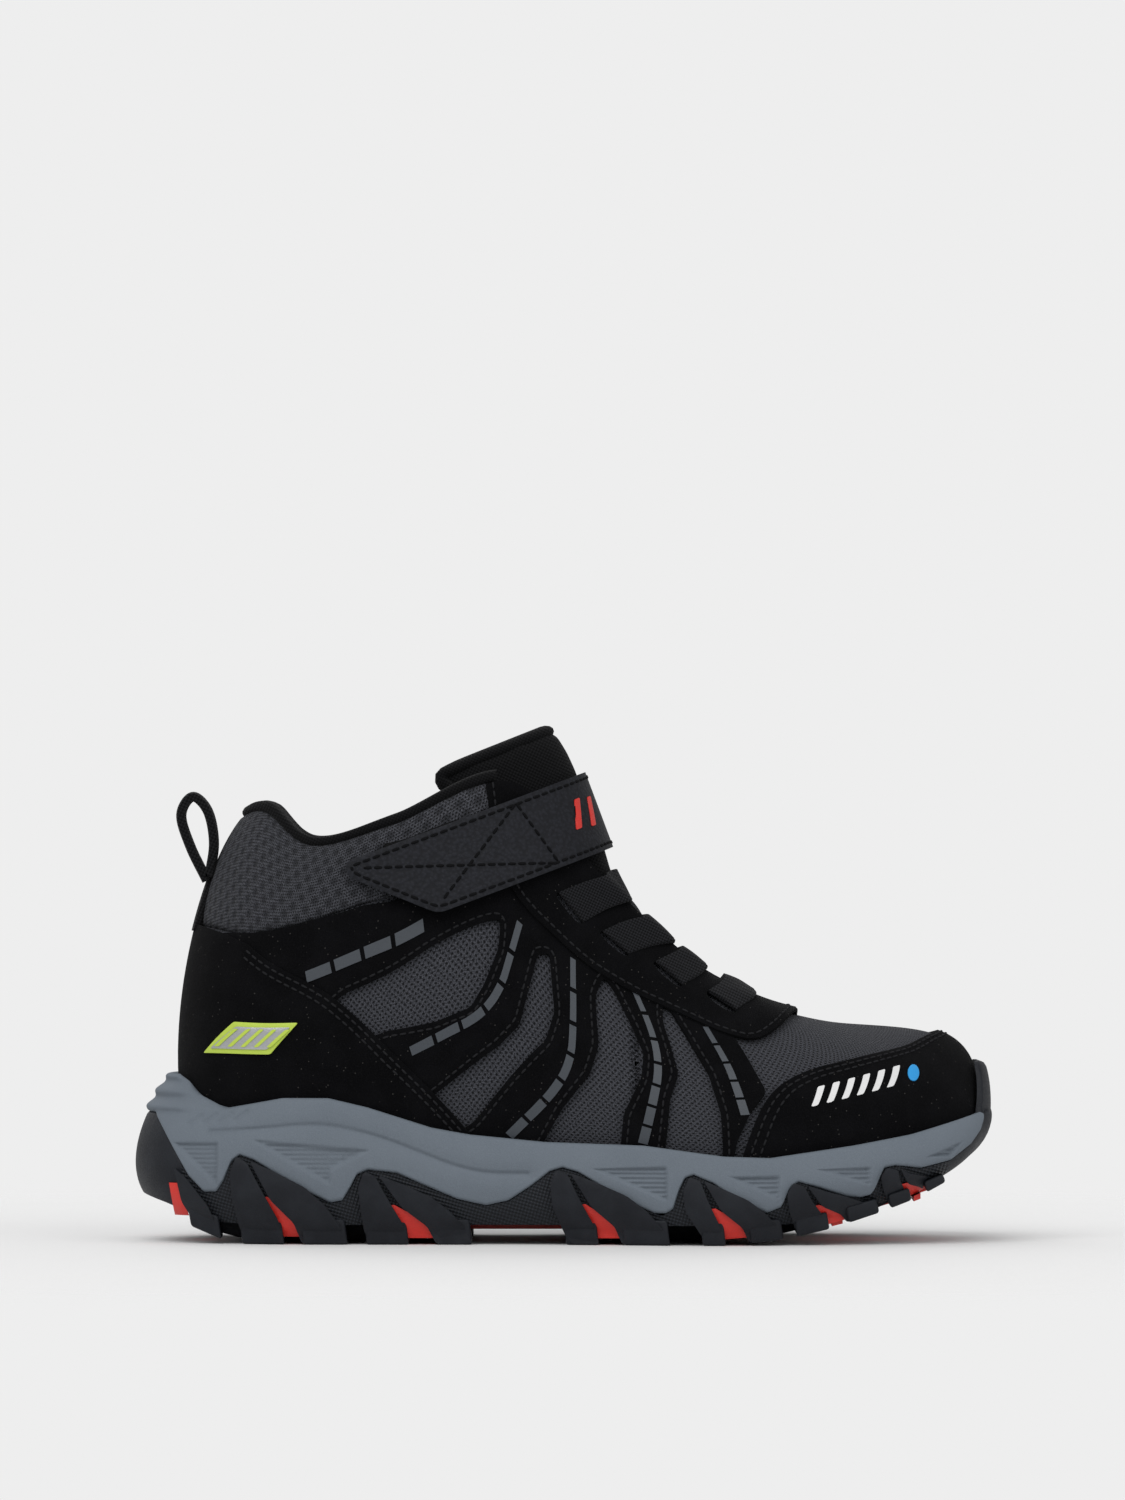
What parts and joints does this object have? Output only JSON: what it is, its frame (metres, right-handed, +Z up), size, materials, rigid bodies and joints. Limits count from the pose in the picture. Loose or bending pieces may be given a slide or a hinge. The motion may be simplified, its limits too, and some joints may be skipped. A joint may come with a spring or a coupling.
{
  "type": "hiking boot",
  "caption": "Child's mid-height hiking boot for the right foot: mesh upper with overlays, elastic laces, opening ankle strap, padded collar and tongue, lugged sole.",
  "frame": {"origin": "on the ground, under the centre of the boot's bounding box", "axes": "+X towards the toe, +Y towards the inner side of the foot (the wearer's left), +Z up"},
  "size_m": [0.2264, 0.0912, 0.1349],
  "materials": {
    "rubber": "charcoal rubber, matt",
    "red": "red rubber, satin",
    "midsole": "grey foamed rubber, fine matt grain",
    "shank": "moulded nylon",
    "board": "pressed fibre board",
    "lining": "black brushed textile",
    "stiffener": "thermoplastic sheet",
    "mesh": "woven grey textile mesh",
    "foam": "soft foam padding",
    "nubuck": "black synthetic nubuck",
    "webbing": "black woven elastic and webbing",
    "strap": "slate-black grained synthetic leather",
    "hook": "hook and loop tape",
    "emblem": "printed silver and lime film"
  },
  "bodies": {
    "boot": {"outsole": "rubber", "outsole_web": "red", "midsole": "midsole", "shank": "shank", "insole_board": "board", "footbed": "lining", "lining_bootie": "lining", "collar_binding": "lining", "heel_counter": "stiffener", "toe_puff": "stiffener", "vamp_mesh": "mesh", "quarter_mesh_outer": "mesh", "quarter_mesh_inner": "mesh", "collar_mesh": "mesh", "collar_foam": "foam", "toe_cap": "nubuck", "heel_cover_outer": "nubuck", "heel_cover_inner": "nubuck", "cage_outer": "nubuck", "cage_inner": "nubuck", "eyestay": "nubuck", "backstay": "webbing", "elastic_lace_1": "webbing", "elastic_lace_2": "webbing", "elastic_lace_3": "webbing", "elastic_lace_4": "webbing", "strap_base": "strap", "strap_loop_patch": "hook", "heel_emblem": "emblem"},
    "strap_front": {"strap_front": "strap"},
    "strap_end": {"strap_end": "strap", "strap_hook_patch": "hook"},
    "tongue": {"tongue_face": "lining", "tongue_foam": "foam", "tongue_lining": "lining"},
    "pull_loop": {"pull_loop": "webbing"}
  },
  "joints": [
    {"name": "strap_open", "type": "hinge", "parent": "boot", "child": "strap_front", "pos_m": [-0.01539, 0.02785, 0.10408], "axis": [-0.3471, -0.1338, 0.9282], "range_deg": [0, 110]},
    {"name": "strap_peel", "type": "hinge", "parent": "strap_front", "child": "strap_end", "pos_m": [-0.00991, -0.02772, 0.10613], "axis": [-0.3471, 0.1338, 0.9282], "range_deg": [0, 100]},
    {"name": "tongue_tilt", "type": "hinge", "parent": "boot", "child": "tongue", "pos_m": [0.0515, -0.00089, 0.0565], "axis": [0, 1, 0], "range_deg": [0, 18], "deforming": ["elastic_lace_1", "elastic_lace_2", "elastic_lace_3", "elastic_lace_4"]},
    {"name": "pull_loop_swing", "type": "hinge", "parent": "boot", "child": "pull_loop", "pos_m": [-0.09395, -0.00089, 0.095], "axis": [0, -1, 0], "range_deg": [0, 70]}
  ],
  "couplings": [
    {"joint": "tongue_tilt", "follows": "strap_open", "ratio": 0.163}
  ]
}
